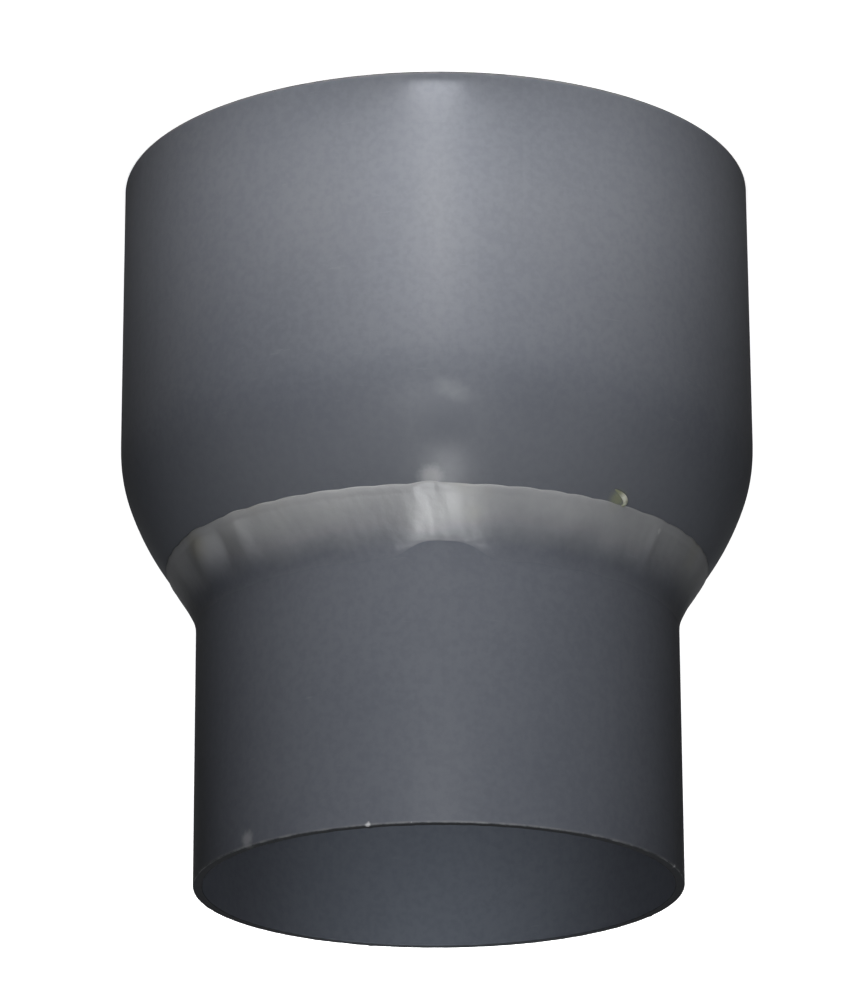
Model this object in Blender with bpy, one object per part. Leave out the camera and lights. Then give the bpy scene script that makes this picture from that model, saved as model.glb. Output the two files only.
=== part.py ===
"""Concentric reducer in grey rigid PVC, fabricated from pipe.

A socket barrel takes the large pipe, a drawn shoulder brings the diameter down, and a spigot of the
small pipe's size passes through the shoulder's neck. The barrel and the shoulder meet in a V-groove
butt joint, welded from both sides and dressed flush outside. The neck joint has a root run in the
bevel round the spigot, a broad cover fillet outside and a fillet inside.

The origin is the centre of the large end's face, and +Z runs along the axis to the small end.
"""

import math

import bmesh
import bpy

MM = 0.001

# Pipe sizes
LARGE_PIPE_OD = 160.0 * MM
SMALL_PIPE_OD = 125.0 * MM
WALL = 2.4 * MM
SOCKET_CLEARANCE = 0.25 * MM

# Lengths along the axis
SOCKET_DEPTH = 79.5 * MM
SHOULDER_HEIGHT = 34.5 * MM
SPIGOT_REACH = 76.0 * MM
SPIGOT_INSERT = 8.0 * MM

# The shoulder bulges: its slope departs this much from a straight cone's at either end
SHOULDER_DOME = math.radians(15.0)

# Gap between neighbouring solids
FIT_GAP = 0.3 * MM

# Ends of the two pipes
EDGE_BREAK = 0.35 * MM
LEAD_IN_WIDTH = 0.8 * MM
LEAD_IN_LENGTH = 2.5 * MM

# V-groove butt joint between barrel and shoulder
GROOVE_ANGLE = math.radians(30.0)
ROOT_FACE = 0.7 * MM
ROOT_GAP = 1.6 * MM
ROOT_CAP_WIDTH = 4.0 * MM
ROOT_CAP_HEIGHT = 0.9 * MM

# Neck joint between shoulder and spigot
NECK_BEVEL = 2.2 * MM
NECK_LAND = 0.6 * MM
ROOT_RUN_WIDTH = 1.2 * MM
SHOULDER_LEG = 11.2 * MM
SPIGOT_LEG = 5.4 * MM
TOE_HEIGHT = 0.6 * MM
FEATHER_EDGE = 0.4 * MM
FACE_HOLLOW = 0.6 * MM
INNER_LEG = 3.3 * MM
INNER_CROWN = 0.4 * MM

# Facets
SEGMENTS = 64
SHOULDER_STEPS = 8
WELD_STEPS = 5
SHARP_ANGLE = math.radians(25.0)

# Radii and heights that several pieces share
SOCKET_BORE = LARGE_PIPE_OD / 2 + SOCKET_CLEARANCE
SOCKET_RADIUS = SOCKET_BORE + WALL
SPIGOT_RADIUS = SMALL_PIPE_OD / 2
SPIGOT_BORE = SPIGOT_RADIUS - WALL
NECK_RADIUS = SPIGOT_RADIUS + FIT_GAP
JOINT_HEIGHT = SOCKET_DEPTH
NECK_HEIGHT = JOINT_HEIGHT + SHOULDER_HEIGHT
TOP_HEIGHT = NECK_HEIGHT + SPIGOT_REACH
GROOVE_DEPTH = WALL - ROOT_FACE
GROOVE_HALF = ROOT_GAP / 2 + GROOVE_DEPTH * math.tan(GROOVE_ANGLE)

# Finishes: base colour, roughness
PVC_GREY = ("pvc_grey", (0.112, 0.120, 0.143), 0.40)
WELD_GREY = ("weld_grey", (0.280, 0.285, 0.295), 0.36)


class Shoulder:
    """The shoulder's outer face as one arc in the (radius, height) plane.

    A point on it is given by its tilt, the angle of the outward normal above the horizontal, and by
    its offset, the distance outside the face, so the inner face has an offset of minus the wall.
    """

    def __init__(self):
        drop = SOCKET_RADIUS - NECK_RADIUS
        cone_tilt = math.atan2(drop, SHOULDER_HEIGHT)
        self.start_tilt = cone_tilt - SHOULDER_DOME
        self.end_tilt = cone_tilt + SHOULDER_DOME
        self.arc = math.hypot(drop, SHOULDER_HEIGHT) / (2 * math.sin(SHOULDER_DOME))
        self.centre_radius = SOCKET_RADIUS - self.arc * math.cos(self.start_tilt)
        self.centre_height = JOINT_HEIGHT - self.arc * math.sin(self.start_tilt)

    def point(self, tilt, offset=0.0):
        reach = self.arc + offset
        return (
            self.centre_radius + reach * math.cos(tilt),
            self.centre_height + reach * math.sin(tilt),
        )

    def tilt_at_radius(self, radius, offset=0.0):
        return math.acos((radius - self.centre_radius) / (self.arc + offset))

    def tilt_at_height(self, height, offset=0.0):
        return math.asin((height - self.centre_height) / (self.arc + offset))

    def at_radius(self, radius, offset=0.0):
        return self.point(self.tilt_at_radius(radius, offset), offset)

    def at_height(self, height, offset=0.0):
        return self.point(self.tilt_at_height(height, offset), offset)

    def run(self, tilt_from, tilt_to, offset, steps):
        """Points along the face from one tilt to another, both ends included."""
        span = tilt_to - tilt_from
        return [self.point(tilt_from + span * i / steps, offset) for i in range(steps + 1)]


def arc_between(start, end, sagitta, steps):
    """Points of the arc from start to end, bowed to the left of that direction by sagitta."""
    middle = ((start[0] + end[0]) / 2, (start[1] + end[1]) / 2)
    along = (end[0] - start[0], end[1] - start[1])
    length = math.hypot(*along)
    left = (-along[1] / length, along[0] / length)
    radius = (length * length / 4 + sagitta * sagitta) / (2 * sagitta)
    centre = tuple(m + n * (sagitta - radius) for m, n in zip(middle, left))
    half = math.asin(length / 2 / radius)
    points = []
    for i in range(steps + 1):
        angle = half - 2 * half * i / steps
        # The angle is measured from the bow's crown, positive towards start
        points.append(
            tuple(
                c + radius * (n * math.cos(angle) - a / length * math.sin(angle))
                for c, n, a in zip(centre, left, along)
            )
        )
    return points


def barrel_profile():
    """Socket for the large pipe: square-cut mouth with a lead-in, bevelled at the joint."""
    root = JOINT_HEIGHT - ROOT_GAP / 2
    return [
        (SOCKET_BORE + LEAD_IN_WIDTH, 0.0),
        (SOCKET_RADIUS - EDGE_BREAK, 0.0),
        (SOCKET_RADIUS, EDGE_BREAK),
        (SOCKET_RADIUS, JOINT_HEIGHT - GROOVE_HALF),
        (SOCKET_RADIUS - GROOVE_DEPTH, root),
        (SOCKET_BORE, root),
        (SOCKET_BORE, LEAD_IN_LENGTH),
    ]


def neck_bevel_height(shoulder, radius):
    """Height of the bevel that is cut into the shoulder's outer face round the spigot."""
    outer_radius, outer_height = shoulder.at_radius(NECK_RADIUS + NECK_BEVEL)
    land_height = shoulder.at_radius(NECK_RADIUS, -WALL)[1] + NECK_LAND
    slope = (outer_height - land_height) / (outer_radius - NECK_RADIUS)
    return land_height + slope * (radius - NECK_RADIUS)


def shoulder_profile(shoulder):
    """Drawn shoulder of even wall, bevelled for the weld at the barrel and at the neck."""
    root = JOINT_HEIGHT + ROOT_GAP / 2
    outer = shoulder.run(
        shoulder.tilt_at_height(JOINT_HEIGHT + GROOVE_HALF),
        shoulder.tilt_at_radius(NECK_RADIUS + NECK_BEVEL),
        0.0,
        SHOULDER_STEPS,
    )
    inner = shoulder.run(
        shoulder.tilt_at_radius(NECK_RADIUS, -WALL),
        shoulder.tilt_at_height(root, -WALL),
        -WALL,
        SHOULDER_STEPS,
    )
    land = (NECK_RADIUS, neck_bevel_height(shoulder, NECK_RADIUS))
    return outer + [land] + inner + [(SOCKET_RADIUS - GROOVE_DEPTH, root)]


def spigot_profile():
    """Length of small pipe, square cut at both ends."""
    bottom = NECK_HEIGHT - SPIGOT_INSERT
    return [
        (SPIGOT_BORE, bottom),
        (SPIGOT_RADIUS, bottom),
        (SPIGOT_RADIUS, TOP_HEIGHT - EDGE_BREAK),
        (SPIGOT_RADIUS - EDGE_BREAK, TOP_HEIGHT),
        (SPIGOT_BORE + EDGE_BREAK, TOP_HEIGHT),
        (SPIGOT_BORE, TOP_HEIGHT - EDGE_BREAK),
    ]


def barrel_cover_profile(shoulder):
    """Weld in the V-groove, dressed flush with the barrel and the shoulder."""
    flank_gap = FIT_GAP / math.cos(GROOVE_ANGLE)
    half = GROOVE_HALF - flank_gap
    bottom_radius = SOCKET_RADIUS - GROOVE_DEPTH + FIT_GAP
    bottom_half = ROOT_GAP / 2 + FIT_GAP * math.tan(GROOVE_ANGLE) - flank_gap
    return [
        (bottom_radius, JOINT_HEIGHT - bottom_half),
        (SOCKET_RADIUS, JOINT_HEIGHT - half),
        (SOCKET_RADIUS, JOINT_HEIGHT),
        shoulder.at_height(JOINT_HEIGHT + half),
        (bottom_radius, JOINT_HEIGHT + bottom_half),
    ]


def barrel_root_profile(shoulder):
    """Root run laid from inside: a stem in the root gap under a low cap, which stops the pipe."""
    stem_half = ROOT_GAP / 2 - FIT_GAP
    stem_top = SOCKET_RADIUS - GROOVE_DEPTH
    shoulder_edge = shoulder.at_height(JOINT_HEIGHT + ROOT_GAP / 2, -WALL)[0]
    seat = min(SOCKET_BORE, shoulder_edge) - FIT_GAP
    upper = shoulder.at_height(JOINT_HEIGHT + ROOT_CAP_WIDTH / 2, -WALL - FIT_GAP)
    lower = (SOCKET_BORE - FIT_GAP, JOINT_HEIGHT - ROOT_CAP_WIDTH / 2)
    cap = arc_between(upper, lower, -ROOT_CAP_HEIGHT, WELD_STEPS)
    return [
        (seat, JOINT_HEIGHT - stem_half),
        (stem_top, JOINT_HEIGHT - stem_half),
        (stem_top, JOINT_HEIGHT + stem_half),
        (seat, JOINT_HEIGHT + stem_half),
    ] + cap


def neck_root_profile(shoulder):
    """Root run in the bevel between the shoulder's neck and the spigot."""
    outer_radius = NECK_RADIUS + ROOT_RUN_WIDTH
    bevel_low = neck_bevel_height(shoulder, NECK_RADIUS)
    bevel_high = neck_bevel_height(shoulder, outer_radius)
    lift = FIT_GAP * math.hypot(1.0, (bevel_high - bevel_low) / ROOT_RUN_WIDTH)
    return [
        (NECK_RADIUS, bevel_low + lift),
        (outer_radius, bevel_high + lift),
        shoulder.at_radius(outer_radius),
        shoulder.at_radius(NECK_RADIUS),
    ]


def neck_cover_profile(shoulder):
    """Broad hollow fillet between the shoulder and the spigot, with a raised toe on the shoulder."""
    toe_tilt = shoulder.end_tilt - SHOULDER_LEG / shoulder.arc
    seat = shoulder.run(
        toe_tilt, shoulder.tilt_at_radius(NECK_RADIUS, FIT_GAP), FIT_GAP, WELD_STEPS
    )
    weld_top = NECK_HEIGHT + SPIGOT_LEG
    toe = shoulder.point(toe_tilt, FIT_GAP + TOE_HEIGHT)
    feather = (NECK_RADIUS + FEATHER_EDGE, weld_top)
    face = arc_between(feather, toe, -FACE_HOLLOW, WELD_STEPS)
    return seat + [(NECK_RADIUS, weld_top)] + face


def neck_inner_profile(shoulder):
    """Fillet inside, in the wedge between the spigot's end and the shoulder's inner face."""
    under = -WALL - FIT_GAP
    apex = shoulder.at_radius(NECK_RADIUS + FEATHER_EDGE, under)
    face_height = apex[1] - INNER_LEG
    outer = shoulder.run(
        shoulder.tilt_at_height(face_height, under),
        shoulder.tilt_at_radius(apex[0], under),
        under,
        WELD_STEPS,
    )
    face = arc_between((NECK_RADIUS, face_height), outer[0], -INNER_CROWN, WELD_STEPS)
    return face[:-1] + outer + [(NECK_RADIUS, apex[1])]


def plastic(name, colour, roughness):
    """A plain, slightly glossy plastic finish."""
    material = bpy.data.materials.new(name)
    material.use_nodes = True
    shader = material.node_tree.nodes["Principled BSDF"]
    shader.inputs["Base Color"].default_value = (*colour, 1.0)
    shader.inputs["Roughness"].default_value = roughness
    shader.inputs["Metallic"].default_value = 0.0
    return material


def turned_ring(name, profile, material, parent):
    """Spins a closed loop of (radius, height) points once round the Z axis into a closed ring."""
    shape = bmesh.new()
    loop = [shape.verts.new((radius, 0.0, height)) for radius, height in profile]
    edges = [shape.edges.new(pair) for pair in zip(loop, loop[1:] + loop[:1])]
    bmesh.ops.spin(
        shape,
        geom=loop + edges,
        axis=(0.0, 0.0, 1.0),
        cent=(0.0, 0.0, 0.0),
        steps=SEGMENTS,
        angle=math.tau,
        use_merge=True,
    )
    bmesh.ops.recalc_face_normals(shape, faces=shape.faces)
    mesh = bpy.data.meshes.new(name)
    shape.to_mesh(mesh)
    shape.free()
    mesh.materials.append(material)
    mesh.shade_smooth()
    mesh.set_sharp_from_angle(angle=SHARP_ANGLE)
    ring = bpy.data.objects.new(name, mesh)
    bpy.context.scene.collection.objects.link(ring)
    ring.parent = parent
    return ring


def main():
    for old in list(bpy.data.objects):
        bpy.data.objects.remove(old)
    reducer = bpy.data.objects.new("reducer", None)
    bpy.context.scene.collection.objects.link(reducer)
    shoulder = Shoulder()
    pvc = plastic(*PVC_GREY)
    weld = plastic(*WELD_GREY)
    turned_ring("socket_barrel", barrel_profile(), pvc, reducer)
    turned_ring("drawn_shoulder", shoulder_profile(shoulder), pvc, reducer)
    turned_ring("spigot_pipe", spigot_profile(), pvc, reducer)
    turned_ring("barrel_cover_weld", barrel_cover_profile(shoulder), pvc, reducer)
    turned_ring("barrel_root_weld", barrel_root_profile(shoulder), weld, reducer)
    turned_ring("neck_root_weld", neck_root_profile(shoulder), weld, reducer)
    turned_ring("neck_cover_weld", neck_cover_profile(shoulder), weld, reducer)
    turned_ring("neck_inner_weld", neck_inner_profile(shoulder), weld, reducer)


main()
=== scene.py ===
import math

import bmesh
import bpy
import numpy as np
from mathutils import Matrix, Vector


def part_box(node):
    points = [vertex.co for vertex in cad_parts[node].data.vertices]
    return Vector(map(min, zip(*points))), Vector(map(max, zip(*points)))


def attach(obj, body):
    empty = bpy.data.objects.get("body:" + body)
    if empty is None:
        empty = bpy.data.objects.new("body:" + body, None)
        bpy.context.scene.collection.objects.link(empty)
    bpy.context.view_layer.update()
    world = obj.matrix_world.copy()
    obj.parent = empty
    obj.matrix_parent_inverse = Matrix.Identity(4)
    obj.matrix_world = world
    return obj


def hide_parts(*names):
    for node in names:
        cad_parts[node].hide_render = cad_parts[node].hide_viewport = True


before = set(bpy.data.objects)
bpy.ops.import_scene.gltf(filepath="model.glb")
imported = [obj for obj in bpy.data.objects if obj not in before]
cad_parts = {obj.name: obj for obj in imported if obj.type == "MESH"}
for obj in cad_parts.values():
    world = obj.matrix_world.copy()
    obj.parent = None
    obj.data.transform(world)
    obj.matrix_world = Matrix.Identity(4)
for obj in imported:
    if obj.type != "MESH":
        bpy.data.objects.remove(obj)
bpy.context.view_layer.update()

MM = 0.001
TAU = math.tau

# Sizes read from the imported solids
barrel_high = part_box("socket_barrel")[1]
spigot_low, spigot_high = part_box("spigot_pipe")
SOCKET_RADIUS = barrel_high.x
SPIGOT_RADIUS = spigot_high.x
SPIGOT_BOTTOM = spigot_low.z
TOP_HEIGHT = spigot_high.z
BEAD_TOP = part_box("neck_cover_weld")[1].z

# Sizes that the solids' boxes don't give
WALL = 2.4 * MM
FIT_GAP = 0.3 * MM
ROOT_GAP = 1.6 * MM
ROOT_FACE = 0.7 * MM
GROOVE_ANGLE = math.radians(30.0)
LEAD_IN_WIDTH = 0.8 * MM
LEAD_IN_LENGTH = 2.5 * MM
SPIGOT_INSERT = 8.0 * MM
SHOULDER_DOME = math.radians(15.0)
SHOULDER_LEG = 11.2 * MM
NECK_BEVEL = 2.2 * MM
NECK_LAND = 0.6 * MM
ROOT_CAP_WIDTH = 4.0 * MM
ROOT_CAP_HEIGHT = 0.9 * MM
INNER_LEG = 3.6 * MM
INNER_CROWN = 0.4 * MM

# Hidden beads: shares of the height that the root cap has and changes by, and changes of the inner fillet
ROOT_CAP_SHARE = 0.82
ROOT_CAP_CHANGE = 0.12
INNER_CROWN_CHANGE = 0.35
INNER_LEG_CHANGE = 0.25 * MM

# The bend between barrel and shoulder is eased over this much height on either side of the joint
BEND_REACH = 18.0 * MM
BEND_SPREAD = 5.0 * MM

# Further than this below the joint, the barrel's wall is one straight line
STRAIGHT_BELOW = 1.3 * BEND_REACH

# Radii and heights that several pieces share
SOCKET_BORE = SOCKET_RADIUS - WALL
SPIGOT_BORE = SPIGOT_RADIUS - WALL
NECK_RADIUS = SPIGOT_RADIUS + FIT_GAP
JOINT_HEIGHT = barrel_high.z + ROOT_GAP / 2
NECK_HEIGHT = SPIGOT_BOTTOM + SPIGOT_INSERT
SHOULDER_HEIGHT = NECK_HEIGHT - JOINT_HEIGHT
GROOVE_DEPTH = WALL - ROOT_FACE
GROOVE_HALF = ROOT_GAP / 2 + GROOVE_DEPTH * math.tan(GROOVE_ANGLE)

# Points round the axis: plain rings, beads out of sight, and pieces with fine detail
PLAIN_RING = 256
HIDDEN_BEAD = 360
FINE_RING = 720

# Edges that turn by more than this angle in degrees stay sharp
PIPE_SHARP = 35.0
WELD_SHARP = 60.0

# Skins of air between laid weld and the pieces under it, and thinner ones where the bead meets the spigot
SEAT = 0.04 * MM
FOOT_SKIN = 0.03 * MM
WALL_SKIN = 0.01 * MM

# The two runs in the barrel joint keep these distances from the line where they meet
COVER_LIFT = 0.2 * MM
ROOT_LIFT = 0.1 * MM

# Eased edges at the socket's mouth
LEAD_IN_FILLET = 0.15 * MM
MOUTH_FILLET = 0.45 * MM

# The shoulder's outer face is one arc in the (radius, height) plane
DROP = SOCKET_RADIUS - NECK_RADIUS
CONE_TILT = math.atan2(DROP, SHOULDER_HEIGHT)
START_TILT = CONE_TILT - SHOULDER_DOME
END_TILT = CONE_TILT + SHOULDER_DOME
ARC = math.hypot(DROP, SHOULDER_HEIGHT) / (2 * math.sin(SHOULDER_DOME))
ARC_RADIUS = SOCKET_RADIUS - ARC * math.cos(START_TILT)
ARC_HEIGHT = JOINT_HEIGHT - ARC * math.sin(START_TILT)
TOE_TILT = END_TILT - SHOULDER_LEG / ARC


def on_shoulder(tilt, offset=0.0):
    """The point of the shoulder's outer face at a tilt, moved out by an offset."""
    reach = ARC + offset
    return ARC_RADIUS + reach * math.cos(tilt), ARC_HEIGHT + reach * math.sin(tilt)


def tilt_at_radius(radius, offset=0.0):
    return math.acos((radius - ARC_RADIUS) / (ARC + offset))


def tilt_at_height(height, offset=0.0):
    return math.asin((height - ARC_HEIGHT) / (ARC + offset))


def shoulder_run(start, end, offset, steps):
    return [on_shoulder(tilt, offset) for tilt in np.linspace(start, end, steps + 1)]


def outer_radius(height):
    """Outer face of barrel and shoulder, averaged along the height so that their bend is soft."""
    nearness = max(0.0, 1 - ((height - JOINT_HEIGHT) / BEND_REACH) ** 2)
    shifts = np.linspace(-2, 2, 21)
    radii = []
    for z in height + shifts * BEND_SPREAD * nearness:
        radii.append(SOCKET_RADIUS if z <= JOINT_HEIGHT else on_shoulder(tilt_at_height(z))[0])
    return float(np.average(radii, weights=np.exp(-0.5 * shifts**2)))


def outer_run(low, high, steps):
    return [(outer_radius(z), z) for z in np.linspace(low, high, steps + 1)]


def at(azimuth, radius, height):
    """The point at an azimuth in degrees; 0 faces the camera and 90 is +X."""
    turn = math.radians(azimuth)
    return radius * math.sin(turn), -radius * math.cos(turn), height


def up_shoulder(azimuth, distance, lift=0.0):
    """The point at a distance up the shoulder from the bead's toe, towards the barrel."""
    return at(azimuth, *on_shoulder(TOE_TILT - distance / ARC, lift))


def rounded(corners, steps=5):
    """A loop of (radius, height) points from corners of (radius, height, fillet radius)."""
    loop = []
    for i, (r, z, fillet) in enumerate(corners):
        here = np.array((r, z))
        if fillet <= 0:
            loop.append((r, z))
            continue
        to_last = np.array(corners[i - 1][:2]) - here
        to_next = np.array(corners[(i + 1) % len(corners)][:2]) - here
        u, v = to_last / np.linalg.norm(to_last), to_next / np.linalg.norm(to_next)
        half = math.acos(float(np.clip(u @ v, -1, 1))) / 2
        reach = fillet / math.tan(half)
        centre = here + (u + v) / np.linalg.norm(u + v) * fillet / math.sin(half)
        first, last = here + u * reach - centre, here + v * reach - centre
        start = math.atan2(first[1], first[0])
        turn = math.atan2(first[0] * last[1] - first[1] * last[0], first @ last)
        for angle in np.linspace(start, start + turn, steps + 1):
            loop.append((centre[0] + fillet * math.cos(angle), centre[1] + fillet * math.sin(angle)))
    return loop


def azimuths(count):
    return np.arange(count) * TAU / count


def add_piece(name, points, faces, material, node, sharp):
    """A smooth closed mesh that stands for a CAD node."""
    mesh = bpy.data.meshes.new(name)
    mesh.from_pydata(points, [], faces)
    shape = bmesh.new()
    shape.from_mesh(mesh)
    bmesh.ops.recalc_face_normals(shape, faces=shape.faces)
    shape.to_mesh(mesh)
    shape.free()
    mesh.shade_smooth()
    mesh.set_sharp_from_angle(angle=math.radians(sharp))
    mesh.materials.append(material)
    piece = bpy.data.objects.new(name, mesh)
    bpy.context.scene.collection.objects.link(piece)
    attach(piece, "root")
    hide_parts(node)


def ring(name, loops, material, node, sharp=PIPE_SHARP):
    """A closed ring from one loop of (radius, height) points for each azimuth."""
    loops = np.asarray(loops, float)
    segments, count = loops.shape[:2]
    a = azimuths(segments)[:, None]
    r, z = loops[:, :, 0], loops[:, :, 1]
    points = np.stack([r * np.sin(a), -r * np.cos(a), z], -1).reshape(-1, 3)
    i, j = np.meshgrid(np.arange(segments), np.arange(count), indexing="ij")
    i2, j2 = (i + 1) % segments, (j + 1) % count
    quads = np.stack([i * count + j, i2 * count + j, i2 * count + j2, i * count + j2], -1)
    add_piece(name, points.tolist(), quads.reshape(-1, 4).tolist(), material, node, sharp)


def turned(loop):
    return np.repeat(np.asarray(loop, float)[None], PLAIN_RING, 0)


def wander(a, seed, waves, count):
    """A smooth closed wander round the axis, about -1 to 1: sines of a number of waves within two limits."""
    random = np.random.default_rng(seed)
    total = np.zeros_like(a)
    for _ in range(count):
        number = random.integers(waves[0], waves[1] + 1)
        total += np.sin(number * a + random.uniform(0, TAU)) * random.uniform(0.5, 1)
    return total / math.sqrt(count)


def bump_at(a, degrees, width, power=2):
    """A bell of height 1 round the axis at an azimuth; a higher power gives it a flatter top."""
    away = (a - math.radians(degrees) + math.pi) % TAU - math.pi
    return np.exp(-np.abs(away / math.radians(width)) ** power)


class Shading:
    """Adds linked shader nodes to a material or a world."""

    def __init__(self, owner):
        owner.use_nodes = True
        self.tree = owner.node_tree
        self.tree.nodes.clear()

    def put(self, socket, value):
        if isinstance(value, bpy.types.NodeSocket):
            self.tree.links.new(value, socket)
        else:
            socket.default_value = value

    def add(self, kind, inputs=None, **settings):
        node = self.tree.nodes.new(kind)
        for key, value in settings.items():
            setattr(node, key, value)
        for key, value in (inputs or {}).items():
            self.put(node.inputs[key], value)
        return node

    def math(self, operation, a, b=0.0):
        return self.add("ShaderNodeMath", {0: a, 1: b}, operation=operation).outputs[0]

    def vector(self, operation, a, b=(0.0, 0.0, 0.0)):
        return self.add("ShaderNodeVectorMath", {0: a, 1: b}, operation=operation)

    def noise(self, vector, scale, detail=3.0, roughness=0.55, distortion=0.0):
        inputs = {"Vector": vector, "Scale": scale, "Detail": detail}
        inputs.update({"Roughness": roughness, "Distortion": distortion})
        return self.add("ShaderNodeTexNoise", inputs).outputs["Fac"]

    def stretch(self, vector, scale, rotation=(0.0, 0.0, 0.0)):
        inputs = {"Vector": vector, "Scale": scale, "Rotation": rotation}
        return self.add("ShaderNodeMapping", inputs).outputs[0]

    def span(self, value, low, high, to_low=0.0, to_high=1.0):
        """A soft step from one value to another between two limits."""
        inputs = {"Value": value, "From Min": low, "From Max": high}
        inputs.update({"To Min": to_low, "To Max": to_high})
        return self.add("ShaderNodeMapRange", inputs, interpolation_type="SMOOTHSTEP").outputs[0]

    def mix(self, factor, a, b):
        return self.add("ShaderNodeMix", {0: factor, 6: a, 7: b}, data_type="RGBA").outputs[2]

    def blend(self, factor, a, b):
        return self.add("ShaderNodeMix", {0: factor, 2: a, 3: b}, data_type="FLOAT").outputs[0]

    def bump(self, height, strength, distance, normal=None):
        inputs = {"Height": height, "Strength": strength, "Distance": distance}
        if normal is not None:
            inputs["Normal"] = normal
        return self.add("ShaderNodeBump", inputs).outputs[0]

    def point(self):
        return self.add("ShaderNodeTexCoord").outputs["Object"]

    def plastic(self, colour, roughness, normal, gloss):
        """The finished surface; gloss is the specular level, the same all over."""
        inputs = {"Base Color": colour, "Roughness": roughness, "Normal": normal}
        inputs.update({"Metallic": 0.0, "IOR": 1.5, "Specular IOR Level": gloss})
        shader = self.add("ShaderNodeBsdfPrincipled", inputs)
        self.add("ShaderNodeOutputMaterial", {"Surface": shader.outputs[0]})


def rgb(red, green, blue):
    return red, green, blue, 1.0


# Pipe: mottling, scuffs, sawn ends painted dark as painted shade, and chips; the dark and scuff colours also
# carry painted shade and painted light
PVC_DARK_AND_SHADE = rgb(0.098, 0.106, 0.128)
PVC_LIGHT = rgb(0.127, 0.135, 0.157)
PVC_SCUFF_AND_LIGHT = rgb(0.190, 0.200, 0.220)
PVC_SAWN_SHADE = rgb(0.013, 0.014, 0.016)
PVC_EDGE = rgb(0.190, 0.196, 0.206)
PVC_CHIP = rgb(0.560, 0.560, 0.570)
PVC_GLOSS = 0.17

# The painted shade of a sawn end by its depth from the rim, and its bruised edge by depth and by distance in
# from the outside
SAWN_SHADE_DEPTH = (0.25 * MM, 0.45 * MM)
SAWN_ROUGHNESS = 0.75
BRUISE_DEPTH = (0.4 * MM, 1.0 * MM)
BRUISE_WIDTH = (0.3 * MM, 0.1 * MM)

# Heat glaze near a weld: smoother, and painted paler as painted light
GLAZE_ROUGHNESS = 0.285
GLAZE_PAINTED_LIGHT = 0.4
GLAZE_RAGGED = 3.0 * MM

# A mark has its full strength over this share of its radius, and its edge is torn by noise about a middle
MARK_CORE = 0.2
TORN_EDGE = 1.6 * MM
NOISE_MIDDLE = 0.5

# Weld: rod colour, warmed places, and scorched plastic, whose palest colour is partly a painted glint
WELD_BASE = rgb(0.290, 0.295, 0.307)
WELD_LIGHT_AND_HIGHLIGHT = rgb(0.336, 0.341, 0.352)
WELD_WARM = rgb(0.290, 0.283, 0.254)
WELD_PALE = rgb(0.450, 0.452, 0.460)
OLIVE = rgb(0.250, 0.265, 0.175)
SCORCHED_AND_GLINT = rgb(0.780, 0.780, 0.680)
WELD_GLOSS = 0.4

# Travel ripples: how many to a turn, and in radians of their phase the slant to a metre and the drift
RIPPLES = 120.0
RIPPLE_SLANT = 700.0
RIPPLE_DRIFT = 9.0

# Over these distances from the bead's start, the fade of the patch gives way to that of the run
START_PATCH = (7.0 * MM, 12.0 * MM)
FADE_RAGGED = 5.0 * MM


def drawn_pvc(shade, point):
    """Colour, roughness and normal of drawn pipe: mottled, with draw lines, scuffs and a fine grain."""
    cloud = shade.noise(point, scale=24.0, detail=3.0, roughness=0.5)
    speck = shade.noise(point, scale=520.0, detail=2.0, roughness=0.6)
    along = shade.stretch(point, (1.0, 1.0, 0.015))
    streaks = shade.noise(along, scale=620.0, detail=4.0, roughness=0.65)
    across = shade.stretch(point, (1.0, 1.0, 9.0), (0.35, 0.2, 0.6))
    rubbed = shade.noise(across, scale=75.0, detail=6.0, roughness=0.7, distortion=0.4)
    scuffs = shade.span(rubbed, 0.645, 0.74)
    colour = shade.mix(shade.span(cloud, 0.2, 0.8, 0.2, 0.8), PVC_DARK_AND_SHADE, PVC_LIGHT)
    colour = shade.mix(shade.span(speck, 0.4, 0.75, 0.0, 0.5), colour, PVC_DARK_AND_SHADE)
    colour = shade.mix(shade.span(speck, 0.6, 0.3, 0.0, 0.4), colour, PVC_LIGHT)
    colour = shade.mix(shade.span(streaks, 0.55, 0.8, 0.0, 0.3), colour, PVC_LIGHT)
    colour = shade.mix(shade.math("MULTIPLY", scuffs, 0.3), colour, PVC_SCUFF_AND_LIGHT)
    worn = shade.math("MULTIPLY", scuffs, 0.12)
    roughness = shade.math("ADD", shade.span(cloud, 0.25, 0.75, 0.33, 0.41), worn)
    normal = shade.bump(cloud, 0.2, 0.6 * MM)
    normal = shade.bump(streaks, 0.15, 0.1 * MM, normal)
    normal = shade.bump(shade.noise(point, scale=2400.0, detail=2.0), 0.2, 0.04 * MM, normal)
    return colour, roughness, normal


def marked(shade, point, colour, marks):
    """Small marks with torn edges, each given by its place, radius, colour and strength."""
    if not marks:
        return colour
    torn = shade.math("SUBTRACT", shade.noise(point, scale=900.0, detail=2.0), NOISE_MIDDLE)
    torn = shade.math("MULTIPLY", torn, TORN_EDGE)
    for place, radius, tint, strength in marks:
        away = shade.math("ADD", shade.vector("DISTANCE", point, place).outputs["Value"], torn)
        colour = shade.mix(shade.span(away, MARK_CORE * radius, radius, strength, 0.0), colour, tint)
    return colour


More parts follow.
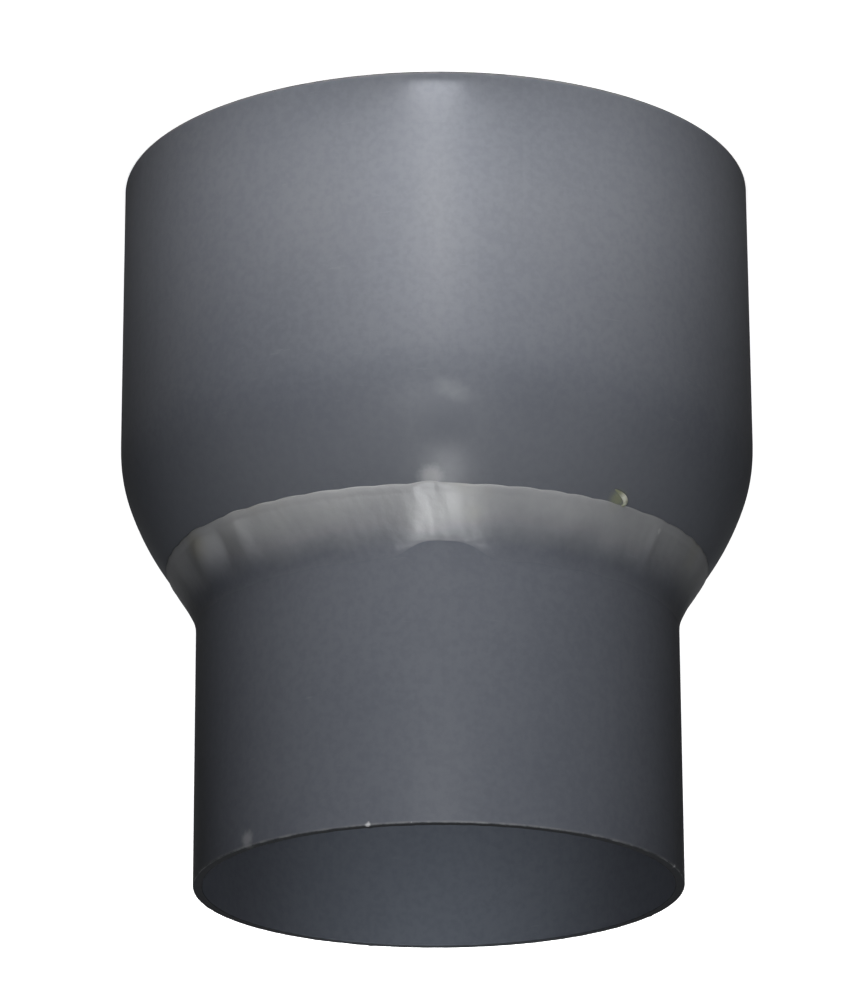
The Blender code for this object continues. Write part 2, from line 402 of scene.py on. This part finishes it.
def sawn_end(shade, point, height, ragged, rim, colour, roughness):
    """Colour and roughness with a sawn face at a rim, painted near black as painted shade, and a broken pale
    line along its outer edge.
    """
    rim_radius, rim_height = rim
    radius = shade.vector("LENGTH", shade.vector("MULTIPLY", point, (1.0, 1.0, 0.0)).outputs[0])
    depth = shade.math("ABSOLUTE", shade.math("SUBTRACT", height, rim_height))
    # painted shade: the sawn face is made near black towards the rim
    sawn = shade.span(depth, *SAWN_SHADE_DEPTH, 0.9, 0.0)
    inner, outer = (rim_radius - width for width in BRUISE_WIDTH)
    outside = shade.span(radius.outputs["Value"], inner, outer)
    edge = shade.math("MULTIPLY", outside, shade.span(depth, *BRUISE_DEPTH, 1.0, 0.0))
    broken = shade.math("MULTIPLY", edge, shade.span(ragged, 0.35, 0.65, 0.15, 0.9))
    colour = shade.mix(broken, shade.mix(sawn, colour, PVC_SAWN_SHADE), PVC_EDGE)
    return colour, shade.blend(sawn, roughness, SAWN_ROUGHNESS)


def pipe_material(name, rim=None, glaze=None, marks=()):
    """Drawn pipe, with a sawn end at a rim (radius, height) whose face is painted dark as painted shade.

    From the lower to the upper height of a glaze, heat has left it more and more smooth, and it is painted
    more and more pale there as painted light.
    """
    material = bpy.data.materials.new(name)
    shade = Shading(material)
    point = shade.point()
    height = shade.add("ShaderNodeSeparateXYZ", {0: point}).outputs[2]
    colour, roughness, normal = drawn_pvc(shade, point)
    ragged = shade.noise(point, scale=260.0, detail=4.0, roughness=0.7)
    if rim:
        colour, roughness = sawn_end(shade, point, height, ragged, rim, colour, roughness)
    if glaze:
        shifted = shade.math("ADD", height, shade.math("MULTIPLY", ragged, GLAZE_RAGGED))
        heated_and_lit = shade.span(shifted, *glaze)
        # painted light: the glazed zone is made paler towards the toe
        colour = shade.mix(shade.math("MULTIPLY", heated_and_lit, GLAZE_PAINTED_LIGHT), colour, PVC_SCUFF_AND_LIGHT)
        roughness = shade.blend(heated_and_lit, roughness, GLAZE_ROUGHNESS)
    colour = marked(shade, point, colour, marks)
    shade.plastic(colour, roughness, normal, PVC_GLOSS)
    return material


def travel_ripples(shade, point, x, y, height):
    """Waves across the bead, slanted and drifting."""
    around = shade.math("ARCTAN2", x, shade.math("MULTIPLY", y, -1.0))
    drift = shade.math("MULTIPLY", shade.noise(point, scale=120.0), RIPPLE_DRIFT)
    slant = shade.math("MULTIPLY", height, RIPPLE_SLANT)
    phase = shade.math("ADD", shade.math("MULTIPLY", around, RIPPLES), slant)
    return shade.math("SINE", shade.math("ADD", phase, drift))


def weld_material(name, fade=None, start=None, marks=()):
    """Laid weld, paler, with travel ripples and warm spots.

    It fades into the pipe between two heights, each given for the run and for the patch at its start.
    """
    material = bpy.data.materials.new(name)
    shade = Shading(material)
    point = shade.point()
    split = shade.add("ShaderNodeSeparateXYZ", {0: point})
    x, y, height = split.outputs[0], split.outputs[1], split.outputs[2]
    cloud = shade.noise(point, scale=70.0, detail=4.0, roughness=0.6)
    warm = shade.noise(point, scale=42.0, detail=3.0, roughness=0.6)
    colour = shade.mix(shade.span(cloud, 0.35, 0.7), WELD_BASE, WELD_LIGHT_AND_HIGHLIGHT)
    colour = shade.mix(shade.span(warm, 0.52, 0.72, 0.0, 0.7), colour, WELD_WARM)
    roughness = shade.span(cloud, 0.3, 0.7, 0.28, 0.38)
    normal = shade.bump(travel_ripples(shade, point, x, y, height), 0.1, 0.08 * MM)
    normal = shade.bump(shade.noise(point, scale=420.0), 0.25, 0.25 * MM, normal)
    colour = marked(shade, point, colour, marks)
    if fade:
        shift = shade.math("SUBTRACT", shade.noise(point, scale=90.0), NOISE_MIDDLE)
        shifted = shade.math("ADD", height, shade.math("MULTIPLY", shift, FADE_RAGGED))
        away = shade.vector("DISTANCE", point, start).outputs["Value"]
        patch = shade.span(away, *START_PATCH, 1.0, 0.0)
        low, high = (shade.blend(patch, *limits) for limits in fade)
        gone = shade.span(shifted, low, high)
        pipe_colour, pipe_roughness, _ = drawn_pvc(shade, point)
        colour = shade.mix(gone, colour, pipe_colour)
        roughness = shade.blend(gone, roughness, pipe_roughness)
    shade.plastic(colour, roughness, normal, WELD_GLOSS)
    return material


# The spigot's sawn rim: its sweep, its tooth marks, its drop below the full height and its eased edges
RIM_SWEEP = 0.10 * MM
SWEEP_CHANGE = 0.6
RIM_TOOTH = 0.03 * MM
RIM_DROP = 0.05 * MM
RIM_FILLET = 0.25 * MM

# Burrs left by the saw on that rim: azimuth, size; then their half-width in degrees, stand, flare and depths
BURRS = ((16.0, 0.9), (6.1, 0.45), (-71.0, 0.6), (-118.0, 0.8), (163.0, 0.7))
BURR_WIDTH = 0.6
BURR_STAND = 0.8
BURR_FLARE = 0.3 * MM
BURR_ROOT = 0.8 * MM
BURR_DEPTH = 0.4 * MM

# A pale smudge near the rim
SMUDGE_AZIMUTH = 49.0
SMUDGE_DEPTH = 2.2 * MM

# Lumps and hollows along the bead: azimuth, height in millimetres, half-width in degrees
BIG_LUMP_AZIMUTH = 62.0
SPECK_AZIMUTH = -54.0
LUMPS = (
    (BIG_LUMP_AZIMUTH, 1.1, 4.5),
    (47.0, 0.6, 2.6),
    (54.0, -0.5, 2.2),
    (SPECK_AZIMUTH, 0.25, 1.5),
    (-128.0, 0.7, 4.0),
    (151.0, 0.6, 3.0),
    (158.0, -0.4, 2.0),
)

# The bead starts and ends in a patch, and a smear of it runs on to the shoulder; half-widths in degrees
START_AZIMUTH = -1.2
START_WIDTH = 9.0
START_PLACE = at(START_AZIMUTH, SPIGOT_RADIUS + 4.0 * MM, NECK_HEIGHT - 2.0 * MM)
SMEAR_AZIMUTH = 1.2
SMEAR_WIDTH = 3.2

# The bead's scalloped toe on the shoulder, two scallops to a wave, and the lip above it
SCALLOP_WAVES = 26
SCALLOP_SHIFT = 1.3
SCALLOP_DEPTH = 0.25 * MM
TOE_REACH = 0.35 * MM
TOE_WANDER = 0.2 * MM
SMEAR_REACH = 0.6 * MM
LIP_HEIGHT = 0.45 * MM
LIP_CHANGE = 0.1
LIP_RUN = 2.2 * MM

# Shares of a lump's height that the toe and the lip take on, and of the lip that the smear takes away
TOE_SHARE = 0.35
LIP_SHARE = 0.3
SMEAR_SHARE = 0.7

# The bead's face: the share of it that is straight along the run and at the start, and how it swells
RUN_STRAIGHT = 0.7
START_STRAIGHT = 0.9
FACE_SWELL = 0.08 * MM
RUN_HOLLOW = 0.3 * MM
START_RIDGE = 0.25 * MM

# The bead's top edge on the pipe, and how far it is feathered out there
TOP_DROP = 0.4 * MM
TOP_WANDER = 0.3 * MM
START_DROP = 1.6 * MM
RUN_FEATHER = 3.0 * MM
START_FEATHER = 0.4 * MM
EDGE_THICKNESS = 0.05 * MM

# The bead's colour fades into the pipe between these heights above the neck
RUN_FADE = (-6.5 * MM, 6.0 * MM)
PATCH_FADE = (-2.5 * MM, 4.4 * MM)

# The shoulder's glaze, smoother and painted paler as painted light, rises from below the bead's toe to above
# it
GLAZE_RISE = (-26.0 * MM, 1.0 * MM)

# A curl of rod left on the shoulder: azimuth, distance up from the toe, lift and radius in millimetres
CURL = (
    (-37.6, 3.7, 0.6, 0.12),
    (-39.2, 3.1, 0.6, 0.40),
    (-40.6, 2.3, 0.6, 0.54),
    (-41.3, 1.2, 0.4, 0.50),
    (-41.0, 0.0, 0.2, 0.28),
)

# The curl's least radius in millimetres, its flattened section by shares of the radius, and the place of its
# pale scorch that is partly a painted glint
CURL_LEAST = 0.06
CURL_WIDTH = 1.3
CURL_HEIGHT = 0.8
CURL_GLINT = (-40.4, 2.3 * MM)

# Marks on the bead, this far out from the shoulder's arc, and an olive stain that crosses its toe
MARK_LIFT = 1.6 * MM
PALE_AZIMUTH = 34.0
STAIN_AZIMUTH = -39.3
STAIN_EDGE_AZIMUTH = -39.0

# Places on the shoulder of a painted shade patch and a painted highlight streak: azimuth, distance up from
# the toe in millimetres
PAINTED_SHADE_PATCH = (-1.5, 17.5)
PAINTED_HIGHLIGHT_STREAK = ((-1.0, 24.4), (-2.6, 23.8), (-4.2, 22.6))


def rim_marks():
    """Place, radius, colour and strength of the smudge and the burrs on the spigot's rim."""
    marks = [(at(SMUDGE_AZIMUTH, SPIGOT_RADIUS, TOP_HEIGHT - SMUDGE_DEPTH), 3.0 * MM, PVC_CHIP, 0.28)]
    for azimuth, size in BURRS:
        place = at(azimuth, SPIGOT_RADIUS, TOP_HEIGHT - BURR_DEPTH)
        marks.append((place, size * MM, PVC_CHIP, 0.85))
    return marks


def shoulder_marks():
    """A stain under the curl, the bead's pale smear that is partly a painted highlight, and a patch of
    painted shade and a streak of painted highlight further up.
    """
    stain = (up_shoulder(STAIN_AZIMUTH, 1.7 * MM), 3.2 * MM, OLIVE, 0.85)
    # partly painted highlight: the smear is made pale where the lamps' highlight falls above the toe
    smear = (up_shoulder(SMEAR_AZIMUTH, 2.0 * MM), 4.2 * MM, WELD_LIGHT_AND_HIGHLIGHT, 0.7)
    # painted shade: a dark patch below the bend between barrel and shoulder
    azimuth, distance = PAINTED_SHADE_PATCH
    marks = [stain, smear, (up_shoulder(azimuth, distance * MM), 10.0 * MM, PVC_DARK_AND_SHADE, 0.7)]
    # painted highlight: a pale streak along that bend
    for azimuth, distance in PAINTED_HIGHLIGHT_STREAK:
        marks.append((up_shoulder(azimuth, distance * MM), 3.6 * MM, PVC_SCUFF_AND_LIGHT, 0.3))
    return marks


def bead_marks():
    """A paler stretch, a painted highlight at the start, the stain's edge, the warm big lump and a speck."""
    pale = (up_shoulder(PALE_AZIMUTH, -4.0 * MM, MARK_LIFT), 45.0 * MM, WELD_PALE, 0.55)
    # painted highlight: the weld is made lighter at its start, where the lamps' highlight falls
    painted_start_highlight = (up_shoulder(START_AZIMUTH, -5.0 * MM, MARK_LIFT), 12.0 * MM, WELD_LIGHT_AND_HIGHLIGHT, 0.8)
    stain = (up_shoulder(STAIN_EDGE_AZIMUTH, -0.6 * MM, 0.6 * MM), 2.6 * MM, OLIVE, 0.12)
    lump = (up_shoulder(BIG_LUMP_AZIMUTH, -3.0 * MM, MARK_LIFT), 6.0 * MM, WELD_WARM, 0.8)
    speck = (up_shoulder(SPECK_AZIMUTH, -2.5 * MM, 1.2 * MM), 1.2 * MM, PVC_CHIP, 0.6)
    return [pale, painted_start_highlight, stain, lump, speck]


def curl_marks():
    """Olive all over the curl, and scorched pale at its bend, partly a painted glint."""
    bend = up_shoulder(*CURL_GLINT)
    # partly painted glint: the bend is made pale where the curl catches the light
    return [(bend, 12.0 * MM, OLIVE, 1.0), (bend, 2.8 * MM, SCORCHED_AND_GLINT, 0.9)]


def socket_barrel(material):
    """Socket with a lead-in at its mouth, up to the welded joint."""
    mouth = rounded(
        [
            (SOCKET_BORE, LEAD_IN_LENGTH, 0.0),
            (SOCKET_BORE + LEAD_IN_WIDTH, 0.0, LEAD_IN_FILLET),
            (SOCKET_RADIUS, 0.0, MOUTH_FILLET),
            (SOCKET_RADIUS, JOINT_HEIGHT / 2, 0.0),
        ]
    )
    root = JOINT_HEIGHT - ROOT_GAP / 2
    wall = outer_run(JOINT_HEIGHT - STRAIGHT_BELOW, JOINT_HEIGHT - GROOVE_HALF, 16)
    joint = [(SOCKET_RADIUS - GROOVE_DEPTH, root), (SOCKET_BORE, root)]
    ring("socket_barrel_shell", turned(mouth + wall + joint), material, "socket_barrel")


def dressed_joint_weld(material):
    """Weld in the groove between barrel and shoulder, dressed flush."""
    face = outer_run(JOINT_HEIGHT - GROOVE_HALF, JOINT_HEIGHT + GROOVE_HALF, 8)
    bottom = SOCKET_RADIUS - GROOVE_DEPTH + COVER_LIFT
    root = [(bottom, JOINT_HEIGHT + ROOT_GAP / 2), (bottom, JOINT_HEIGHT - ROOT_GAP / 2)]
    ring("dressed_joint_weld", turned(face + root), material, "barrel_cover_weld")


def drawn_shoulder(material):
    """Domed shoulder of even wall, with a bevelled neck."""
    root = JOINT_HEIGHT + ROOT_GAP / 2
    neck_top = on_shoulder(tilt_at_radius(NECK_RADIUS + NECK_BEVEL))[1]
    outer = outer_run(JOINT_HEIGHT + GROOVE_HALF, neck_top, 32)
    neck_tilt = tilt_at_radius(NECK_RADIUS, -WALL)
    inner = shoulder_run(neck_tilt, tilt_at_height(root, -WALL), -WALL, 24)
    land = [(NECK_RADIUS, inner[0][1] + NECK_LAND)]
    joint = [(SOCKET_RADIUS - GROOVE_DEPTH, root)]
    loop = outer + land + inner + joint
    ring("drawn_shoulder_shell", turned(loop), material, "drawn_shoulder")


def spigot(material):
    """Length of small pipe, sawn by hand: its rim wanders a little and keeps a few burrs."""
    a = azimuths(FINE_RING)
    sweep = RIM_SWEEP * (1 + SWEEP_CHANGE * wander(a, seed=5, waves=(1, 6), count=5))
    teeth = RIM_TOOTH * (1 + wander(a, seed=6, waves=(30, 90), count=8))
    burrs = sum(BURR_STAND * size * bump_at(a, azimuth, BURR_WIDTH) for azimuth, size in BURRS)
    drops = (np.clip(sweep + teeth, 0.0, None) + RIM_DROP) * (1 - np.clip(burrs, 0, 1))
    loops = []
    for drop, burr in zip(drops, burrs):
        rim = TOP_HEIGHT - drop
        corners = [
            (SPIGOT_BORE, SPIGOT_BOTTOM, 0.0),
            (SPIGOT_RADIUS, SPIGOT_BOTTOM, 0.0),
            (SPIGOT_RADIUS, rim - BURR_ROOT, 0.0),
            (SPIGOT_RADIUS + BURR_FLARE * burr, rim, RIM_FILLET),
            (SPIGOT_BORE, rim, RIM_FILLET),
        ]
        loops.append(rounded(corners))
    ring("spigot_shell", loops, material, "spigot_pipe")


def bead_face(crest, foot, share, feather, steps=32):
    """Fractions and points from a bead's crest straight towards its foot, then eased along the pipe."""
    bend = crest + (foot - crest) * share
    end = foot + np.array((0.0, feather))
    points = []
    for t in np.linspace(0, 1, steps + 1)[1:]:
        u = max(0.0, (t - share) / (1 - share))
        eased = (1 - u) ** 2 * bend + 2 * u * (1 - u) * foot + u**2 * end
        points.append((t, crest + (foot - crest) * t if t < share else eased))
    return points


def bead_loop(leg, lip, lump, bulge, top, fold):
    """One section of the bead: up its lip, along its face to the pipe, and back along its seat."""
    toe_tilt = END_TILT - leg / ARC
    rise = []
    for turn in np.linspace(0, math.pi / 2, 10)[1:]:
        along = LIP_RUN * (1 - math.cos(turn))
        rise.append(on_shoulder(toe_tilt + along / ARC, SEAT + lip * math.sin(turn)))
    crest, foot = np.array(rise[-1]), np.array((SPIGOT_RADIUS + FOOT_SKIN, top))
    outward = np.array((foot[1] - crest[1], crest[0] - foot[0])) / np.linalg.norm(foot - crest)
    share = RUN_STRAIGHT + (START_STRAIGHT - RUN_STRAIGHT) * fold
    feather = RUN_FEATHER + (START_FEATHER - RUN_FEATHER) * fold
    face = []
    for t, point in bead_face(crest, foot, share, feather):
        fall = math.cos(max(0.0, t - share) / (1 - share) * math.pi / 2) ** 2
        ridge = START_RIDGE * fold * min(t, share) * fall
        swell = bulge * math.sin(math.pi * t) ** 2 + lump * math.sin(math.pi * t**0.6) ** 2
        face.append(tuple(point + outward * (swell + ridge)))
    wall_radius = SPIGOT_RADIUS + WALL_SKIN
    wall = [(wall_radius, face[-1][1] - EDGE_THICKNESS), (wall_radius, NECK_HEIGHT + FIT_GAP)]
    seat = shoulder_run(tilt_at_radius(NECK_RADIUS, SEAT), toe_tilt, SEAT, 12)
    return rise + face + wall + seat


def neck_cover_bead(material):
    """Cover fillet laid by hand: scalloped toe, feathered top edge, lumps and a smeared start."""
    a = azimuths(FINE_RING)
    scallop_drift = wander(a, seed=11, waves=(1, 9), count=6)
    toe_drift = wander(a, seed=12, waves=(1, 7), count=6)
    lip_drift = wander(a, seed=13, waves=(3, 24), count=8)
    face_drift = wander(a, seed=14, waves=(2, 22), count=8)
    top_drift = wander(a, seed=15, waves=(2, 30), count=8)
    scallop = np.abs(np.sin(SCALLOP_WAVES * a + SCALLOP_SHIFT * scallop_drift))
    lumps = sum(height * MM * bump_at(a, azimuth, width) for azimuth, height, width in LUMPS)
    smear = bump_at(a, SMEAR_AZIMUTH, SMEAR_WIDTH)
    overlap = bump_at(a, START_AZIMUTH, START_WIDTH, power=4)
    legs = SHOULDER_LEG + TOE_REACH + TOE_WANDER * toe_drift - SCALLOP_DEPTH * (1 - scallop)
    legs += TOE_SHARE * lumps + SMEAR_REACH * smear
    lips = (LIP_HEIGHT * (1 + LIP_CHANGE * lip_drift) + LIP_SHARE * lumps) * (1 - SMEAR_SHARE * smear)
    bulges = FACE_SWELL * face_drift - RUN_HOLLOW * (1 - overlap)
    tops = BEAD_TOP - TOP_DROP + TOP_WANDER * top_drift - START_DROP * overlap
    loops = [bead_loop(*sizes) for sizes in zip(legs, lips, lumps, bulges, tops, overlap)]
    ring("neck_cover_bead", loops, material, "neck_cover_weld", sharp=WELD_SHARP)


def curl_path(steps):
    """Points along the curl, the points of the shoulder under them, and the radii in millimetres."""
    knots = np.arange(len(CURL))
    along = np.linspace(0, knots[-1], steps)
    columns = np.array(CURL).T
    turns, rises, lifts, radii = (np.polyval(np.polyfit(knots, column, 3), along) for column in columns)
    path = [up_shoulder(turn, rise * MM, lift * MM) for turn, rise, lift in zip(turns, rises, lifts)]
    roots = [up_shoulder(turn, rise * MM) for turn, rise in zip(turns, rises)]
    return np.array(path), np.array(roots), radii


def weld_curl(material):
    """A hooked sliver of rod at the bead's toe: a tapered tube along a smooth path."""
    sides, steps = 12, 30
    path, roots, radii = curl_path(steps)
    points, faces = [], []
    for place, root, tangent, radius in zip(path, roots, np.gradient(path, axis=0), radii):
        up = (place - root) / np.linalg.norm(place - root)
        side = np.cross(tangent, up)
        side /= np.linalg.norm(side)
        size = max(radius, CURL_LEAST) * MM
        for angle in azimuths(sides):
            reach = CURL_WIDTH * math.cos(angle) * side + CURL_HEIGHT * math.sin(angle) * up
            points.append(tuple(place + size * reach))
    for i in range(steps - 1):
        low, high = i * sides, (i + 1) * sides
        for j in range(sides):
            after = (j + 1) % sides
            faces.append((low + j, low + after, high + after, high + j))
    faces.append(tuple(range(sides)))
    faces.append(tuple(range((steps - 1) * sides, steps * sides)))
    add_piece("weld_curl", points, faces, material, "neck_cover_weld", WELD_SHARP)


def barrel_root_bead(material):
    """Root run inside the barrel joint, with an uneven crown."""
    uneven = wander(azimuths(HIDDEN_BEAD), seed=21, waves=(8, 60), count=10)
    caps = ROOT_CAP_HEIGHT * (ROOT_CAP_SHARE + ROOT_CAP_CHANGE * uneven)
    half = ROOT_CAP_WIDTH / 2
    upper = np.array(on_shoulder(tilt_at_height(JOINT_HEIGHT + half, -WALL), -WALL - SEAT))
    lower = np.array((SOCKET_BORE - SEAT, JOINT_HEIGHT - half))
    stem_half = ROOT_GAP / 2 - FIT_GAP
    stem_radius = SOCKET_BORE + ROOT_FACE - ROOT_LIFT
    stem = [(stem_radius, JOINT_HEIGHT - stem_half), (stem_radius, JOINT_HEIGHT + stem_half)]
    loops = []
    for cap in caps:
        crown = []
        for t in np.linspace(0, 1, 9):
            r, z = upper + (lower - upper) * t
            crown.append((r - cap * 4 * t * (1 - t), z))
        loops.append(stem + crown)
    ring("barrel_root_bead", loops, material, "barrel_root_weld", sharp=WELD_SHARP)


def neck_inner_bead(material):
    """Fillet inside the neck, in the wedge between the spigot's end and the shoulder."""
    a = azimuths(HIDDEN_BEAD)
    under = -WALL - SEAT
    inner = SPIGOT_RADIUS + SEAT
    apex = on_shoulder(tilt_at_radius(NECK_RADIUS, under), under)
    crowns = INNER_CROWN * (1 + INNER_CROWN_CHANGE * wander(a, seed=31, waves=(6, 60), count=10))
    legs = INNER_LEG + INNER_LEG_CHANGE * wander(a, seed=32, waves=(2, 30), count=10)
    loops = []
    for crown, leg in zip(crowns, legs):
        level = apex[1] - leg
        outer = shoulder_run(tilt_at_height(level, under), tilt_at_radius(apex[0], under), under, 8)
        face = []
        for t in np.linspace(0, 1, 9)[:-1]:
            face.append((inner + (outer[0][0] - inner) * t, level - crown * 4 * t * (1 - t)))
        loops.append(face + outer + [(inner, apex[1])])
    ring("neck_inner_bead", loops, material, "neck_inner_weld", sharp=WELD_SHARP)


def dress():
    """Puts every visible piece on the frame; the run buried under the bead keeps its CAD shape."""
    toe_height = on_shoulder(TOE_TILT)[1]
    glaze = [toe_height + rise for rise in GLAZE_RISE]
    shoulder_pvc = pipe_material("shoulder_pvc", glaze=glaze, marks=shoulder_marks())
    plain_pvc = pipe_material("dressed_pvc")
    bead_fade = [(NECK_HEIGHT + run, NECK_HEIGHT + patch) for run, patch in zip(RUN_FADE, PATCH_FADE)]
    bead_weld = weld_material("bead_weld", fade=bead_fade, start=START_PLACE, marks=bead_marks())
    inner_weld = weld_material("inner_weld")
    curl_weld = weld_material("curl_weld", marks=curl_marks())
    socket_barrel(pipe_material("barrel_pvc", rim=(SOCKET_RADIUS, 0.0)))
    dressed_joint_weld(plain_pvc)
    drawn_shoulder(shoulder_pvc)
    spigot(pipe_material("spigot_pvc", rim=(SPIGOT_RADIUS, TOP_HEIGHT), marks=rim_marks()))
    neck_cover_bead(bead_weld)
    weld_curl(curl_weld)
    barrel_root_bead(inner_weld)
    neck_inner_bead(inner_weld)
    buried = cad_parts["neck_root_weld"].data.materials
    buried.clear()
    buried.append(inner_weld)


# A floor just under the object, with a pale colour for the camera and a darker one for every other ray
FLOOR_RADIUS = 14.0
FLOOR_DROP = 0.1 * MM
FLOOR_SEEN = rgb(0.8, 0.8, 0.8)
FLOOR_UNSEEN = rgb(0.2, 0.2, 0.2)
WHITE = rgb(1.0, 1.0, 1.0)

# Strengths for camera rays, for glossy and transmission rays, and for the rest
FLOOR_GLOW = (0.88, 0.015, 0.0)
WORLD_GLOW = (1.0, 0.02, 0.03)


def by_ray(shade, camera, mirror, other):
    """One strength for camera rays, one for glossy and transmission rays and one for the rest."""
    path = shade.add("ShaderNodeLightPath").outputs
    mirrored = shade.math("MAXIMUM", path["Is Glossy Ray"], path["Is Transmission Ray"])
    strength = shade.math("MULTIPLY", path["Is Camera Ray"], camera - other)
    strength = shade.math("ADD", strength, shade.math("MULTIPLY", mirrored, mirror - other))
    return shade.math("ADD", strength, other)


def floor_material():
    material = bpy.data.materials.new("floor")
    shade = Shading(material)
    seen = shade.add("ShaderNodeLightPath").outputs["Is Camera Ray"]
    colour = shade.mix(seen, FLOOR_UNSEEN, FLOOR_SEEN)
    diffuse = shade.add("ShaderNodeBsdfDiffuse", {"Color": colour})
    strength = by_ray(shade, *FLOOR_GLOW)
    glow = shade.add("ShaderNodeEmission", {"Color": WHITE, "Strength": strength})
    both = shade.add("ShaderNodeAddShader", {0: diffuse.outputs[0], 1: glow.outputs[0]})
    shade.add("ShaderNodeOutputMaterial", {"Surface": both.outputs[0]})
    return material


def stage_floor():
    """A wide round floor, white to the camera, that gives the object little light of its own."""
    mesh = bpy.data.meshes.new("floor")
    shape = bmesh.new()
    bmesh.ops.create_circle(shape, cap_ends=True, segments=96, radius=FLOOR_RADIUS)
    shape.to_mesh(mesh)
    shape.free()
    mesh.materials.append(floor_material())
    floor = bpy.data.objects.new("floor", mesh)
    floor.location.z = -FLOOR_DROP
    bpy.context.scene.collection.objects.link(floor)


def stage_world():
    """A white surround for the camera, nearly dark to the object."""
    world = bpy.data.worlds.new("studio")
    bpy.context.scene.world = world
    shade = Shading(world)
    strength = by_ray(shade, *WORLD_GLOW)
    background = shade.add("ShaderNodeBackground", {"Color": WHITE, "Strength": strength})
    shade.add("ShaderNodeOutputWorld", {"Surface": background.outputs[0]})


# Lamp colours
WARM = (1.0, 0.975, 0.93)
COOL = (0.98, 0.99, 1.0)
BLUISH = (0.90, 0.97, 1.0)

# The low bank, one lamp in the middle and two pairs: azimuth in degrees, width in metres, power in watts
BANK = ((0, 0.1, 0.0327), (26, 0.07, 0.045), (52, 0.09, 0.0181))
BANK_RADIUS = 0.152
BANK_HEIGHT = 0.012
BANK_DEPTH = 0.024
BANK_TARGET = (0.0, 0.0, 0.03)

# Distances from the axis of the two strips that lie on the floor and shine up
NEAR_STRIP = 0.107
FAR_STRIP = 0.2
STRIP_HEIGHT = 2.0 * MM


def area_light(name, place, target, size, power, colour, shape="ELLIPSE", spread=180.0, mirrored=True):
    """A lamp aimed at a target; one that isn't mirrored leaves no glint on the plastic."""
    light = bpy.data.lights.new(name, "AREA")
    light.color = colour
    light.shape = shape
    light.size, light.size_y = size
    light.energy = power
    light.spread = math.radians(spread)
    lamp = bpy.data.objects.new(name, light)
    lamp.location = place
    lamp.rotation_mode = "QUATERNION"
    lamp.rotation_quaternion = (Vector(target) - Vector(place)).to_track_quat("-Z", "Y")
    lamp.visible_camera = False
    lamp.visible_glossy = mirrored
    bpy.context.scene.collection.objects.link(lamp)


def front_lamps():
    """A low bank, floor strips and a narrow card close by, and three lamps above them."""
    for azimuth, width, power in BANK:
        for side in (-1, 1) if azimuth else (1,):
            place = at(side * azimuth, BANK_RADIUS, BANK_HEIGHT)
            size = (width, BANK_DEPTH)
            area_light("low_bank", place, BANK_TARGET, size, power, WARM, "RECTANGLE", mirrored=False)
    near, far = at(0, NEAR_STRIP, STRIP_HEIGHT), at(0, FAR_STRIP, STRIP_HEIGHT)
    above_near, above_far = at(0, NEAR_STRIP, 1.0), at(0, FAR_STRIP, 1.0)
    area_light("near_strip", near, above_near, (0.014, 0.046), 0.00756, WARM, "RECTANGLE")
    area_light("far_strip", far, above_far, (0.022, 0.14), 0.167, WARM, "RECTANGLE", mirrored=False)
    card, wall = at(0, 0.135, 0.026), at(0, SOCKET_RADIUS, 0.044)
    area_light("card", card, wall, (0.016, 0.046), 0.00093, WARM, "RECTANGLE", spread=46.0)
    area_light("front_near", at(0, 0.28, 0.15), (0.0, 0.0, 0.1), (0.13, 0.07), 0.1326, COOL)
    area_light("front_high", at(-3.5, 0.27, 0.325), at(0, 0.07, 0.105), (0.045, 0.1), 0.3, COOL)
    area_light("front_soft", at(0, 0.9, 0.42), (0.0, 0.0, 0.13), (0.45, 0.45), 0.4, COOL)


def other_lamps():
    """A small lamp into the mouth, and two lamps behind for the views from there."""
    area_light("mouth", at(0, 0.04, 0.42), at(180, 0.06, 0.168), (0.03, 0.03), 0.0112, BLUISH, spread=24.0)
    area_light("back_low", at(180, 0.95, 0.05), (0.0, 0.0, 0.1), (0.5, 0.09), 3.2, COOL, "RECTANGLE")
    area_light("back_high", at(180, 0.45, 0.85), (0.0, 0.0, 0.13), (0.5, 0.5), 1.6, COOL)


# The picture is taken from the small end's side, with the camera upside down: the large end is up in it
FOCAL_PIXELS = 4924.1
PICTURE_HEIGHT = 1000.0
SENSOR = 36.0
CAMERA_DISTANCE = 1.21442
CAMERA_HEIGHT = 0.50866
PAN, TILT, ROLL = 0.00066, 0.33548, -0.00431


def photo_camera():
    """The camera fitted to the photo, turned by half a turn about its line of sight."""
    forward = Vector((math.sin(PAN) * math.cos(TILT), math.cos(PAN) * math.cos(TILT), -math.sin(TILT)))
    level = forward.cross(Vector((0, 0, 1))).normalized()
    upright = level.cross(forward)
    right = level * math.cos(ROLL) + upright * math.sin(ROLL)
    up = upright * math.cos(ROLL) - level * math.sin(ROLL)
    data = bpy.data.cameras.new("camera")
    data.sensor_width = SENSOR
    data.lens = FOCAL_PIXELS * SENSOR / PICTURE_HEIGHT
    data.clip_start, data.clip_end = 0.05, 60.0
    camera = bpy.data.objects.new("camera", data)
    turn = Matrix((-right, -up, -forward)).transposed().to_4x4()
    camera.matrix_world = Matrix.Translation(at(0, CAMERA_DISTANCE, CAMERA_HEIGHT)) @ turn
    bpy.context.scene.collection.objects.link(camera)
    bpy.context.scene.camera = camera


dress()
stage_floor()
stage_world()
front_lamps()
other_lamps()
photo_camera()
bpy.context.scene.view_settings.view_transform = "Standard"
